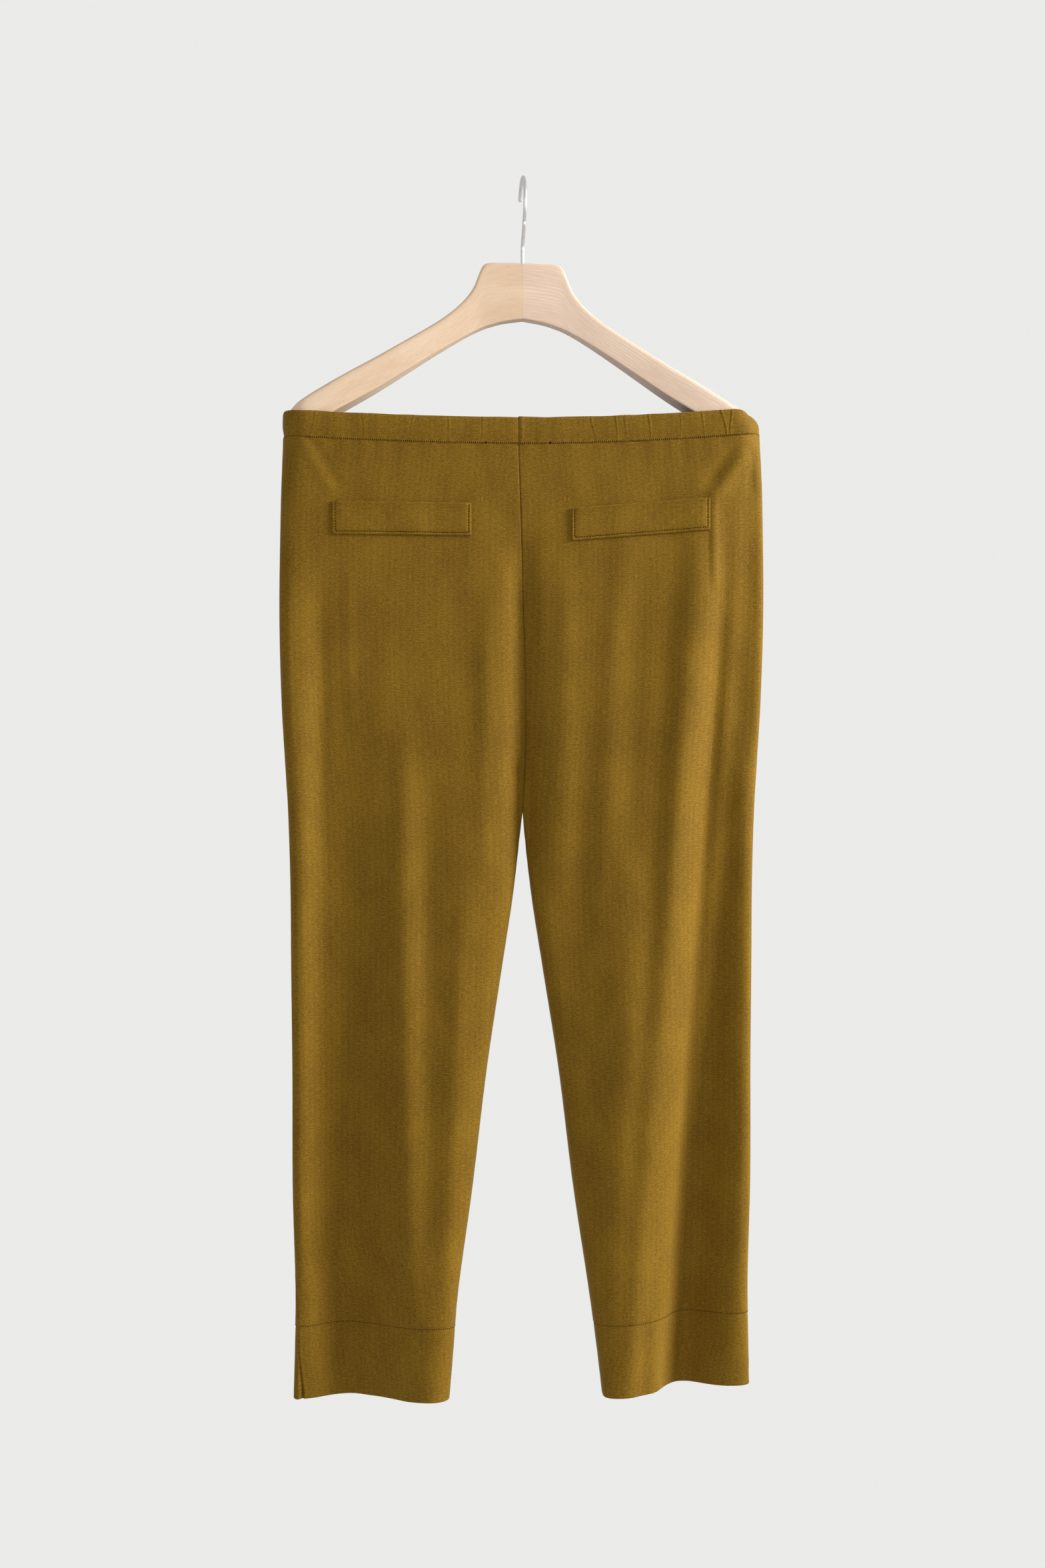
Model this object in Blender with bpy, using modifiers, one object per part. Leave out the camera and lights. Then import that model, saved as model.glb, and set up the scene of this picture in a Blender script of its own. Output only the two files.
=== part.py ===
"""Cropped pull-on jersey trousers hanging on a wooden hanger, seen from the back at -Y.

The origin is the inside top of the hanger's hook, where it rests on a rail. +Z is up,
+X is the wearer's right, and the back of the trousers faces -Y. Tables are in millimetres.
"""
import math
from collections import namedtuple

import bmesh
import bpy

MM = 0.001

# ---------------------------------------------------------------- driving sizes (mm)
WALL = 1.2                  # jersey, one layer
SEAM_HALF_GAP = 0.15        # half of the gap between two pieces at a seam
CONTACT_GAP = 0.3           # gap between pieces that lie on each other

WOOD_HALF_SPAN = 225.5      # centre to shoulder tip of the hanger
WOOD_END_RADIUS = 19.5      # half of the wood's thickness at the shoulder

BAND_WALL = 3.0             # elastic in its casing
BAND_HEIGHT = 24.4
BAND_RADIUS = WOOD_END_RADIUS + CONTACT_GAP + BAND_WALL / 2
BAND_HALF_WIDTH = WOOD_HALF_SPAN + CONTACT_GAP + BAND_WALL / 2
BAND_BOTTOM = -248.5        # height of the waist seam at the left end
BAND_SEAM_X = -4.8          # the centre back seam stands a little to the left
BAND_SAG = 6.0              # the weight pulls the middle of the waist down
RIGHT_END_LIFT = 5.8        # the right end rides higher on its shoulder
# At the right end the band's upper part rolls inwards over the shoulder of the hanger.
ROLL_FROM_X = 200.0
ROLL_FROM_HEIGHT = 11.0
ROLL_RADIUS = 12.0
# Steps of the band: its rows as shares of its height, its straight runs as shares of their
# length, and the angles of the bend round each shoulder.
BAND_ROWS = (1.0, 0.84, 0.67, 0.5, 0.33, 0.0)
BAND_BACK_RUN = (0.0, 0.12, 0.3, 0.5, 0.7, 0.88, 1.0)
BAND_FRONT_STEPS = 10
BAND_BEND_ANGLES = (-75, -60, -45, -30, -15, 0, 15, 30, 45, 60, 75)

HEM = -1156.8
HEM_LIFT_INNER = 1.5        # lift of the right leg's hem at the inseam
HEM_LIFT_OUTER = 7.3        # and at the side seam
SLIT_TOP = -1103.0          # the side seams are open below this height

# The centre back seam leaves the plane of the back here and meets the inseams at the fork.
RISE_TOP = -330.0
FORK = -556.0
LEG_HALF_GAP = 0.75         # extra room where the two legs' walls face each other
EDGE_HALF_GAP = 0.32        # half gap between back and front where their edges meet

# ---------------------------------------------------------------- cloth form
# Each row is a level cut through one half. "side" and "inner" are distances of the side
# seam and the inner edge from "centre", the x of the line between the halves. The two
# rounds are the widths over which the section's edges turn in.
Section = namedtuple("Section", "z centre inner side side_round inner_round half_depth")
SECTIONS = (
    Section(-248.8, -4.8, 0.0, BAND_HALF_WIDTH, BAND_RADIUS, 26, BAND_RADIUS),
    Section(-320, -2.5, 0.0, 229.4, 24, 28, 20.6),
    Section(-417, 0.8, 0.0, 230.4, 25, 30, 19.9),
    Section(-503, 3.0, 0.0, 228.0, 25, 31, 19.4),
    Section(-560, 2.2, 0.0, 224.6, 25, 31, 19.2),
    Section(-603, 0.0, 0.5, 222.0, 25, 30, 19.0),
    Section(-675, -0.4, 8.0, 219.8, 25, 29, 18.8),
    Section(-750, -0.3, 19.4, 219.2, 25, 28, 18.6),
    Section(-847, 0.0, 34.2, 218.1, 24, 27, 18.4),
    Section(-960, 0.0, 48.0, 217.7, 24, 26, 18.2),
    Section(-1057, 0.3, 61.8, 215.1, 23, 25, 18.0),
    Section(-1110, 1.6, 67.5, 215.8, 23, 24, 18.0),
    Section(HEM, 2.2, 72.2, 217.0, 23, 24, 18.0),
)

# The largest folds, shared by back and front. Each is a soft ridge towards the back (depth
# below zero) or trough towards the front, on a straight line from x_waist to x_hem.
Fold = namedtuple("Fold", "x_waist x_hem half_width depth z_start z_full")
FOLDS = (
    Fold(-226, -220, 18, -8, -300, -520),
    Fold(-172, -168, 31, 18, -290, -1100),
    Fold(-122, -104, 24, -11, -430, -1000),
    Fold(-30, -80, 26, -15, -420, -1130),
    Fold(118, 86, 36, -22, -330, -1120),
    Fold(222, 155, 25, 26, -290, -1060),
)

# Where each panel's side edge lies, as an angle round the section's rounded edge: 0 is the
# outermost line, 90 is where the panel is flat. "seam" is the edge at the top of the slit,
# "hem" at its foot. On the left leg the front panel comes round to the back.
SideEdge = namedtuple("SideEdge", "name seam hem")
SIDE_EDGES = (
    SideEdge("back_left", 32, 53),
    SideEdge("front_left", -32, -32),
    SideEdge("back_right", 0, 15),
    SideEdge("front_right", 0, 12),
)
SEAM_TURN_TOP = -1000.0     # from here down the seam comes round to its place at the slit

# Rows of the cloth: from, to, number of steps.
LEVELS = (
    (SECTIONS[0].z, -430, 7),
    (-430, -520, 4),
    (-520, -580, 6),
    (-580, -700, 4),
    (-700, SLIT_TOP, 11),
    (SLIT_TOP, HEM, 3),
)
SIDE_ANGLES = (0, 13, 29, 47, 67, 90)
INNER_ANGLES = (90, 62, 38, 17, 0)
FLAT_STEPS = 8

# ---------------------------------------------------------------- welts
Welt = namedtuple("Welt", "name x_inner z_inner x_outer z_outer")
WELTS = (
    Welt("welt_left", -49.5, -311.8, -180.5, -310.8),
    Welt("welt_right", 45.5, -316.0, 177.3, -305.1),
)
WELT_HEIGHT = 30.8
WELT_WALL = 1.8
WELT_STEPS_ALONG = 12
WELT_STEPS_DOWN = 3

# ---------------------------------------------------------------- hanger
# Sections of one arm, from the middle out: distance from the middle, upper and lower edge.
# Past the last full thickness the shoulder is rounded to WOOD_END_RADIUS.
Arm = namedtuple("Arm", "x top bottom thickness")
ARM = (
    Arm(0.15, -80.5, -134.2, 15.0),
    Arm(20, -80.9, -137.4, 15.0),
    Arm(34, -81.8, -141.6, 15.2),
    Arm(39, -86.0, -143.4, 15.4),
    Arm(47, -105.2, -147.1, 16.2),
    Arm(57, -118.9, -153.5, 17.6),
    Arm(72, -132.5, -162.2, 20.0),
    Arm(91, -145.5, -174.0, 23.0),
    Arm(108, -155.9, -185.2, 25.8),
    Arm(139, -174.7, -205.4, 31.0),
    Arm(170, -192.7, -223.8, 35.8),
    Arm(195, -208.1, -239.2, 38.4),
    Arm(206, -215.5, -245.8, 39.0),
    Arm(213, -220.5, -249.4, 39.0),
    Arm(219, -226.5, -250.2, 39.0),
    Arm(223.3, -232.2, -248.6, 39.0),
    Arm(225.0, -237.3, -245.2, 39.0),
)
ARM_SLOPE = -0.021          # the hanger hangs a little lower at its right end
ARM_RING = 16
ARM_SQUARENESS = 4.4        # 2 is an ellipse, higher is a rounded rectangle

WIRE_RADIUS = 1.7
LOOP_RADIUS = 25.3          # centre line of the hook's loop
LOOP_JOIN_ANGLE = 231.6     # where the stem's bend meets the loop, at the near side below
LOOP_TIP_ANGLE = 20         # where the tip ends, above level at the far side
HOOK_TURN = 5               # the hook's plane is turned a little, near side to the right
LOOP_STEPS = 22
STEM_TOP = -66.2            # the wire is straight up to here, then bends into the loop
STEM_BEND_STEPS = 4


def along(rows, column, z):
    """Smooth value of one column at height z, by cubic pieces through the rows."""
    last = len(rows) - 1
    i = 0
    while i < last - 1 and z < rows[i + 1].z:
        i += 1

    def slope(k):
        low = max(k - 1, 0)
        high = min(k + 1, last)
        rise = getattr(rows[high], column) - getattr(rows[low], column)
        return rise / (rows[high].z - rows[low].z)

    step = rows[i + 1].z - rows[i].z
    t = min(max((z - rows[i].z) / step, 0.0), 1.0)
    a = getattr(rows[i], column)
    b = getattr(rows[i + 1], column)
    return (a * (1 + 2 * t) * (1 - t) ** 2 + b * t * t * (3 - 2 * t)
            + step * (slope(i) * t * (1 - t) ** 2 - slope(i + 1) * t * t * (1 - t)))


def ease(t):
    """Soft step from 0 to 1."""
    t = min(max(t, 0.0), 1.0)
    return t * t * (3 - 2 * t)


def rise_depth(z):
    """Share of the half depth that the centre seam keeps: 1 at the waist, 0 at the fork."""
    if z <= FORK:
        return 0.0
    t = max(0.0, (RISE_TOP - z) / (RISE_TOP - FORK))
    return math.sqrt(1 - t * t)


def fold_depth(x, z):
    """How far the large folds move both walls towards the front at this place."""
    total = 0.0
    for fold in FOLDS:
        down = (SECTIONS[0].z - z) / (SECTIONS[0].z - HEM)
        ridge_x = fold.x_waist + (fold.x_hem - fold.x_waist) * down
        grown = ease((fold.z_start - z) / (fold.z_start - fold.z_full))
        total += fold.depth * grown * math.exp(-((x - ridge_x) / fold.half_width) ** 2)
    return total


def waist_lift(x):
    """Height of the waist seam above its left end."""
    out = min(abs(x) / BAND_HALF_WIDTH, 1.0)
    lift = -BAND_SAG * (1 - out ** 2)
    if x > 0:
        lift += RIGHT_END_LIFT * out ** 1.5
    return lift


def hem_lift(x):
    """Height of the hem above its level at the left leg."""
    if x <= 0:
        return 0.0
    inner, side = SECTIONS[-1].inner, SECTIONS[-1].side
    return HEM_LIFT_INNER + (HEM_LIFT_OUTER - HEM_LIFT_INNER) * (x - inner) / (side - inner)


def height_at(x, z):
    """Real height of the cloth row that is named by its level z."""
    t = (SECTIONS[0].z - z) / (SECTIONS[0].z - HEM)
    return z + (1 - t) * waist_lift(x) + t * hem_lift(x)


def edge_angle(name, z):
    """Angle at which a panel's side edge lies, in degrees."""
    edge = next(row for row in SIDE_EDGES if row.name == name)
    turned = edge.seam * ease((SEAM_TURN_TOP - z) / (SEAM_TURN_TOP - SLIT_TOP))
    return turned + (edge.hem - edge.seam) * ease((SLIT_TOP - z) / (SLIT_TOP - HEM))


def panel_point(name, zone, value, z):
    """Point in the middle of a panel's wall."""
    face = -1 if name.startswith("back") else 1
    half = -1 if name.endswith("left") else 1
    inner_round = along(SECTIONS, "inner_round", z)
    side_round = along(SECTIONS, "side_round", z)
    half_depth = along(SECTIONS, "half_depth", z)
    centre = along(SECTIONS, "centre", z)
    kept = rise_depth(z)
    clearance = SEAM_HALF_GAP + LEG_HALF_GAP * min(1.0, (1 - kept) / 0.3)
    inner = max(0.0, along(SECTIONS, "inner", z)) + clearance
    side = along(SECTIONS, "side", z) - half * centre
    gap_angle = math.degrees(EDGE_HALF_GAP / half_depth)
    share = 1.0
    if zone == "side":
        start = edge_angle(name, z) + gap_angle
        angle = math.radians(start + (90 - start) * value / 90)
        out = side - side_round * (1 - math.cos(angle))
        share = math.sin(angle)
    elif zone == "inner":
        start = gap_angle * (1 - kept)
        angle = math.radians(start + (90 - start) * value / 90)
        out = inner + inner_round * (1 - math.cos(angle))
        share = kept + (1 - kept) * math.sin(angle)
    else:
        out = side - side_round + (inner + inner_round - side + side_round) * value
    x = centre + half * out
    return x, fold_depth(x, z) + face * half_depth * share, height_at(x, z)


def levels():
    """Heights of the cloth's rows, from the waist to the hem."""
    rows = [LEVELS[0][0]]
    for start, end, steps in LEVELS:
        rows += [start + (end - start) * i / steps for i in range(1, steps + 1)]
    return rows


def columns():
    """Places across a panel, from its side seam to its inner edge."""
    places = [("side", angle) for angle in SIDE_ANGLES]
    places += [("flat", i / FLAT_STEPS) for i in range(1, FLAT_STEPS)]
    places += [("inner", angle) for angle in INNER_ANGLES]
    return places


def material(name, colour, roughness, metallic=0.0):
    """One plain finish."""
    made = bpy.data.materials.new(name)
    made.use_nodes = True
    shader = made.node_tree.nodes["Principled BSDF"]
    shader.inputs["Base Color"].default_value = (*colour, 1.0)
    shader.inputs["Roughness"].default_value = roughness
    shader.inputs["Metallic"].default_value = metallic
    return made


def new_object(name, data, finish):
    """Object in the part's own collection, with one material."""
    made = bpy.data.objects.new(name, data)
    data.materials.append(finish)
    parts.objects.link(made)
    return made


def wall_from_grid(name, grid, thickness, finish):
    """Open surface through a grid of points in millimetres, thickened both ways."""
    mesh = bpy.data.meshes.new(name)
    shape = bmesh.new()
    rows = [[shape.verts.new([c * MM for c in point]) for point in row] for row in grid]
    for upper, lower in zip(rows, rows[1:]):
        for i in range(len(upper) - 1):
            shape.faces.new((upper[i], lower[i], lower[i + 1], upper[i + 1]))
    shape.to_mesh(mesh)
    shape.free()
    mesh.shade_smooth()
    made = new_object(name, mesh, finish)
    solidify = made.modifiers.new("Wall", "SOLIDIFY")
    solidify.thickness = thickness * MM
    solidify.offset = 0.0
    return made


def make_panel(name, finish):
    """One leg panel: its outward side is set by the order of its columns."""
    places = columns()
    if name in ("back_right", "front_left"):
        places.reverse()
    grid = [[panel_point(name, zone, value, z) for zone, value in places] for z in levels()]
    wall_from_grid(name, grid, WALL, finish)


def band_path():
    """Places round the waistband in plan, from one side of its seam to the other."""
    straight = BAND_HALF_WIDTH - BAND_RADIUS
    bend = []
    for degrees in BAND_BEND_ANGLES:
        angle = math.radians(degrees)
        bend.append((straight + BAND_RADIUS * math.cos(angle), BAND_RADIUS * math.sin(angle)))
    start = BAND_SEAM_X + SEAM_HALF_GAP
    end = BAND_SEAM_X - SEAM_HALF_GAP
    plan = [(start + (straight - start) * t, -BAND_RADIUS) for t in BAND_BACK_RUN]
    plan += bend
    for i in range(BAND_FRONT_STEPS + 1):
        plan.append((straight * (1 - 2 * i / BAND_FRONT_STEPS), BAND_RADIUS))
    plan += [(-x, -y) for x, y in bend]
    plan += [(end - (straight + end) * t, -BAND_RADIUS) for t in reversed(BAND_BACK_RUN)]
    return plan


def band_point(x, y, height):
    """Point in the middle of the band's wall, at a height over the waist seam."""
    rolled = ease((x - ROLL_FROM_X) / (BAND_HALF_WIDTH - ROLL_FROM_X))
    angle = max(0.0, height - ROLL_FROM_HEIGHT) / ROLL_RADIUS
    inwards = ROLL_RADIUS * (1 - math.cos(angle)) * rolled
    lost = ROLL_RADIUS * (angle - math.sin(angle)) * rolled
    away = math.atan2(y, x - (BAND_HALF_WIDTH - BAND_RADIUS))
    z = BAND_BOTTOM + waist_lift(x) + height - lost
    return x - inwards * math.cos(away), y - inwards * math.sin(away), z


def make_waistband(finish):
    """Elastic band stretched round the two shoulders of the hanger."""
    plan = band_path()
    grid = [[band_point(x, y, BAND_HEIGHT * share) for x, y in plan] for share in BAND_ROWS]
    wall_from_grid("waistband", grid, BAND_WALL, finish)


def back_depth(x, z):
    """Depth of the middle of the back panel's wall, where it is not rounded."""
    level = z
    for _ in range(3):
        level = z - (height_at(x, level) - level)
    return fold_depth(x, level) - along(SECTIONS, "half_depth", level)


def make_welt(welt, finish):
    """Folded strip on the back panel, made from the panel's own depth, moved out."""
    out = WALL / 2 + CONTACT_GAP + WELT_WALL / 2
    grid = []
    for j in range(WELT_STEPS_DOWN + 1):
        row = []
        for i in range(WELT_STEPS_ALONG + 1):
            t = i / WELT_STEPS_ALONG
            x = welt.x_inner + (welt.x_outer - welt.x_inner) * t
            z = welt.z_inner + (welt.z_outer - welt.z_inner) * t
            z -= WELT_HEIGHT * j / WELT_STEPS_DOWN
            row.append((x, back_depth(x, z) - out, z))
        grid.append(row)
    if welt.name == "welt_left":
        grid = [row[::-1] for row in grid]
    wall_from_grid(welt.name, grid, WELT_WALL, finish)


def arm_ring(arm, half):
    """Closed ring of points round one section of a hanger arm."""
    ring = []
    centre = (arm.top + arm.bottom) / 2
    past = max(0.0, arm.x - (WOOD_HALF_SPAN - WOOD_END_RADIUS))
    half_thick = min(arm.thickness / 2, math.sqrt(WOOD_END_RADIUS ** 2 - past ** 2))
    for i in range(ARM_RING):
        angle = 2 * math.pi * (i + 0.5) / ARM_RING
        across, up = math.cos(angle), math.sin(angle)
        y = math.copysign(abs(across) ** (2 / ARM_SQUARENESS), across) * half_thick
        z = math.copysign(abs(up) ** (2 / ARM_SQUARENESS), up) * (arm.top - arm.bottom) / 2
        x = half * arm.x
        ring.append((x * MM, y * MM, (centre + z + ARM_SLOPE * x) * MM))
    return ring


def make_arm(name, half, finish):
    """Half of the wooden hanger, lofted through its sections."""
    mesh = bpy.data.meshes.new(name)
    shape = bmesh.new()
    rings = [[shape.verts.new(point) for point in arm_ring(arm, half)] for arm in ARM]
    for near, far in zip(rings, rings[1:]):
        for i in range(ARM_RING):
            k = (i + 1) % ARM_RING
            shape.faces.new((near[i], far[i], far[k], near[k]))
    shape.faces.new(rings[0])
    shape.faces.new(rings[-1])
    bmesh.ops.recalc_face_normals(shape, faces=shape.faces)
    shape.to_mesh(mesh)
    shape.free()
    mesh.shade_smooth()
    mesh.set_sharp_from_angle(angle=math.radians(40))
    new_object(name, mesh, finish)


def hook_points():
    """Middle line of the wire: up the stem, then round the loop over the rail."""
    centre_z = WIRE_RADIUS - LOOP_RADIUS
    foot_z = ARM[0].top     # the wood's rounded top edge is a contact gap below this
    join = math.radians(LOOP_JOIN_ANGLE)
    join_y = LOOP_RADIUS * math.cos(join)
    join_z = centre_z + LOOP_RADIUS * math.sin(join)
    points = [(0.0, foot_z), (0.0, (foot_z + STEM_TOP) / 2), (0.0, STEM_TOP)]
    for i in range(1, STEM_BEND_STEPS):
        t = i / STEM_BEND_STEPS
        points.append((join_y * ease(t), STEM_TOP + (join_z - STEM_TOP) * t))
    for i in range(LOOP_STEPS + 1):
        angle = join + (math.radians(LOOP_TIP_ANGLE) - join) * i / LOOP_STEPS
        points.append((LOOP_RADIUS * math.cos(angle), centre_z + LOOP_RADIUS * math.sin(angle)))
    return points


def make_hook(finish):
    """Bent steel wire, rising from the middle of the hanger."""
    curve = bpy.data.curves.new("hook", "CURVE")
    curve.dimensions = "3D"
    curve.bevel_depth = WIRE_RADIUS * MM
    curve.bevel_resolution = 2
    curve.use_fill_caps = True
    points = hook_points()
    spline = curve.splines.new("POLY")
    spline.points.add(len(points) - 1)
    turn = math.radians(HOOK_TURN)
    for place, (y, z) in zip(spline.points, points):
        place.co = (-y * math.sin(turn) * MM, y * math.cos(turn) * MM, z * MM, 1.0)
    new_object("hook", curve, finish)


for old in list(bpy.data.objects):
    bpy.data.objects.remove(old, do_unlink=True)
parts = bpy.data.collections.new("trousers_on_hanger")
bpy.context.scene.collection.children.link(parts)

jersey = material("jersey", (0.165, 0.091, 0.012), 0.85)
beech = material("beech", (0.73, 0.53, 0.37), 0.45)
steel = material("steel", (0.62, 0.61, 0.60), 0.25, 1.0)

for panel in ("back_left", "back_right", "front_left", "front_right"):
    make_panel(panel, jersey)
make_waistband(jersey)
for welt_row in WELTS:
    make_welt(welt_row, jersey)
make_arm("hanger_left", -1, beech)
make_arm("hanger_right", 1, beech)
make_hook(steel)
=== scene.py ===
"""Looks of the cropped jersey trousers on their wooden hanger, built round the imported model.

Tables and sizes are in millimetres, in the model's frame: the origin is the inside top of
the hook, +Z is up, +X is the wearer's right, and the back of the trousers faces -Y.
"""
import math
from collections import namedtuple

import bpy
import numpy as np
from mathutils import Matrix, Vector


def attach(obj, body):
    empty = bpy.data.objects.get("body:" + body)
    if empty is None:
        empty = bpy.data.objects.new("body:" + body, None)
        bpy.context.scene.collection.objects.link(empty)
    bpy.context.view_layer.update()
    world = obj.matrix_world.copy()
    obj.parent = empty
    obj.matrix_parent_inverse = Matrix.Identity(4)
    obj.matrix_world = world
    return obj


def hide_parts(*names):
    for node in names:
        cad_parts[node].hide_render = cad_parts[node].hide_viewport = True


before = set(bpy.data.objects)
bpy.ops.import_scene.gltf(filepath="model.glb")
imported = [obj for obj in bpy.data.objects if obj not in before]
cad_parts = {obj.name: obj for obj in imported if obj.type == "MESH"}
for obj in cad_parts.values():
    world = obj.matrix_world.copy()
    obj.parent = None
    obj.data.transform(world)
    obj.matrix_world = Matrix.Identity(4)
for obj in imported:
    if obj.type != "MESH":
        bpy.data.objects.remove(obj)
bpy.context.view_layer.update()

MM = 0.001

# ================ form shared with the solids
# Values marked "own" differ a little from the solids'.
SEAM_HALF_GAP = 0.05        # own: half of the gap between two pieces at a seam
CONTACT_GAP = 0.3           # gap between pieces that lie on each other
WOOD_HALF_SPAN = 225.5      # centre to shoulder tip of the hanger
WOOD_END_RADIUS = 19.5      # half of the wood's thickness at the shoulder
BAND_WALL = 3.0             # elastic in its casing
BAND_HEIGHT = 24.4
BAND_RADIUS = WOOD_END_RADIUS + CONTACT_GAP + BAND_WALL / 2
BAND_HALF_WIDTH = WOOD_HALF_SPAN + CONTACT_GAP + BAND_WALL / 2
BAND_BOTTOM = -248.5        # height of the waist seam at the left end
BAND_SEAM_X = -4.8          # the centre back seam stands a little to the left
BAND_SAG = 6.0              # the weight pulls the middle of the waist down
RIGHT_END_LIFT = 5.8        # the right end rides higher on its shoulder
ROLL_FROM_X = 200.0         # from here out the band rolls inwards over the right shoulder
ROLL_FROM_HEIGHT = 1.0      # own: height above the waist seam where the roll begins
ROLL_RADIUS = 19.0          # own
WAIST = -248.8              # level of the panels' top row
HEM = -1156.8               # level of their lowest row
HEM_LIFT_INNER = 1.5        # lift of the right leg's hem at the inseam
HEM_LIFT_OUTER = 7.3        # and at the side seam
SLIT_TOP = -1103.0          # the side seams are open below this height
SEAM_TURN_TOP = -1000.0     # from here down the seam comes round to its place at the slit
RISE_TOP = -330.0           # the centre seam leaves the plane of the back here
FORK = -556.0               # and meets the inseams here
LEG_HALF_GAP = 0.75         # extra room where the two legs' walls face each other
LEGS_PART = -590.0          # level from which that room grows
EDGE_HALF_GAP = 0.12        # own: half gap between back and front where their edges meet

# Each row is a level cut through one half. "side" and "inner" are distances of the side
# seam and the inner edge from "centre", the x of the line between the halves. The two
# rounds are the widths over which the section's edges turn in.
Section = namedtuple("Section", "z centre inner side side_round inner_round half_depth")
SECTIONS = (
    Section(WAIST, BAND_SEAM_X, 0.0, BAND_HALF_WIDTH, BAND_RADIUS, 26, BAND_RADIUS),
    Section(-320, -2.5, 0.0, 229.4, 24, 28, 20.6),
    Section(-417, 0.8, 0.0, 230.4, 25, 30, 19.9),
    Section(-503, 3.0, 0.0, 228.0, 25, 31, 19.4),
    Section(-560, 2.2, 0.0, 224.6, 25, 31, 19.2),
    Section(-603, 0.0, 0.5, 222.0, 25, 30, 19.0),
    Section(-675, -0.4, 8.0, 219.8, 25, 29, 18.8),
    Section(-750, -0.3, 19.4, 219.2, 25, 28, 18.6),
    Section(-847, 0.0, 34.2, 218.1, 24, 27, 18.4),
    Section(-960, 0.0, 48.0, 217.7, 24, 26, 18.2),
    Section(-1057, 0.3, 61.8, 215.1, 23, 25, 18.0),
    Section(-1110, 1.6, 67.5, 215.8, 23, 24, 18.0),
    Section(HEM, 2.2, 72.2, 217.0, 23, 24, 18.0),
)

# The largest folds, shared by back and front. Each is a soft ridge towards the back (depth
# below zero) or trough towards the front, on a straight line from x_waist to x_hem.
Fold = namedtuple("Fold", "x_waist x_hem half_width depth z_start z_full")
FOLDS = (
    Fold(-226, -220, 18, -8, -300, -520),
    Fold(-172, -168, 31, 18, -290, -1100),
    Fold(-122, -104, 24, -11, -430, -1000),
    Fold(-30, -80, 26, -15, -420, -1130),
    Fold(118, 86, 36, -22, -330, -1120),
    Fold(222, 155, 25, 26, -290, -1060),
)

# Where each panel's side edge lies, as an angle round the section's rounded edge: 0 is the
# outermost line, 90 is where the panel is flat. The first is at the top of the slit, the
# second at the hem. The two hem angles of the left leg are own.
SIDE_EDGES = {
    "back_left": (32, 56),
    "front_left": (-32, -41),
    "back_right": (0, 15),
    "front_right": (0, 12),
}

Welt = namedtuple("Welt", "name x_inner z_inner x_outer z_outer")
WELTS = (
    Welt("welt_left", -49.5, -311.8, -180.5, -310.8),
    Welt("welt_right", 45.5, -316.0, 177.3, -305.1),
)
WELT_HEIGHT = 30.8

# Sections of one arm, from the middle out: distance from the middle, upper and lower edge.
# The lower edge from 39 to 72 is own, and so is the shape of the sections.
Arm = namedtuple("Arm", "x top bottom thickness")
ARM = (
    Arm(0.15, -80.5, -134.2, 15.0),
    Arm(20, -80.9, -137.4, 15.0),
    Arm(34, -81.8, -141.6, 15.2),
    Arm(39, -86.0, -143.6, 15.4),
    Arm(47, -105.2, -147.4, 16.2),
    Arm(57, -118.9, -152.9, 17.6),
    Arm(72, -132.5, -161.9, 20.0),
    Arm(91, -145.5, -174.0, 23.0),
    Arm(108, -155.9, -185.2, 25.8),
    Arm(139, -174.7, -205.4, 31.0),
    Arm(170, -192.7, -223.8, 35.8),
    Arm(195, -208.1, -239.2, 38.4),
    Arm(206, -215.5, -245.8, 39.0),
    Arm(213, -220.5, -249.4, 39.0),
    Arm(219, -226.5, -250.2, 39.0),
    Arm(223.3, -232.2, -248.6, 39.0),
    Arm(225.0, -237.3, -245.2, 39.0),
)
JOINT_HALF_GAP = 0.03       # own: half of the gap between the two arms
ARM_SLOPE = -0.021          # the hanger hangs a little lower on its right
ARM_SQUARENESS_ABOVE = 7.0  # own: 2 is an ellipse, higher is a rounded rectangle
ARM_SQUARENESS_BELOW = 26.0     # own: the lower edge is crisp
WIRE_RADIUS = 1.7
LOOP_RADIUS = 25.3          # of the hook's loop, to the middle of the wire
LOOP_JOIN_ANGLE = 231.6     # where the stem runs into the loop
LOOP_TIP_ANGLE = 20         # and where the loop ends
HOOK_TURN = 3               # own: the hook's plane is turned a little
STEM_TOP = -66.2

# ================ fineness and small sizes
CLOTH_HALF = 0.5            # half the thickness of one layer of jersey
HEM_HALF = 0.95             # and where it is turned up
HEM_TURN_UP = 69.0          # height of the hem's stitches above the fold
SEAM_ROLL = 0.75            # radius in which the cloth turns in at a seam
SEAM_FLANGE = 5.0           # seam allowance that stands inside
SLIT_FLANGE_BACK = 1.2      # turned edges where the slit is open
SLIT_FLANGE_FRONT = 9.0     # the front one closes the view into the leg
SLIT_LEAN = 0.55            # and leans under the back panel
SLIT_EDGE_BLEND = 8.0       # degrees over which an edge takes the leg's rounded form
ROLL_DEGREES = (22, 45, 68, 90)     # steps of the turned-in edge
FLANGE_SHARES = (0.4, 1.0)  # and of the seam allowance
WOOD_REACH = -262.0         # above this, the hanger's ends fill the cloth
DEEPEST_OVER_WOOD = -0.5    # and creases go no deeper than this
EDGE_KEPT = 2.0             # creases keep a little of their height at a panel's edges
SIDE_FADE = 24.0            # width over which they gain it all from the side edge
INNER_FADE = 18.0           # and from the inner edge, below the waist
THINNEST = 0.05             # half thickness where an edge is rounded off
SIDE_SQUARENESS = 1.8       # own: how much flatter than round the legs are at their edges
WAIST_BLEND = 60.0          # the legs take their own form over this distance below the waist
EDGE_POINTS = 40            # fine points round each rounded edge of a panel
FLAT_POINTS = 82            # and along its flat run
PANEL_SCALE = 230.0         # width of a panel for which its columns are spaced

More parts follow.
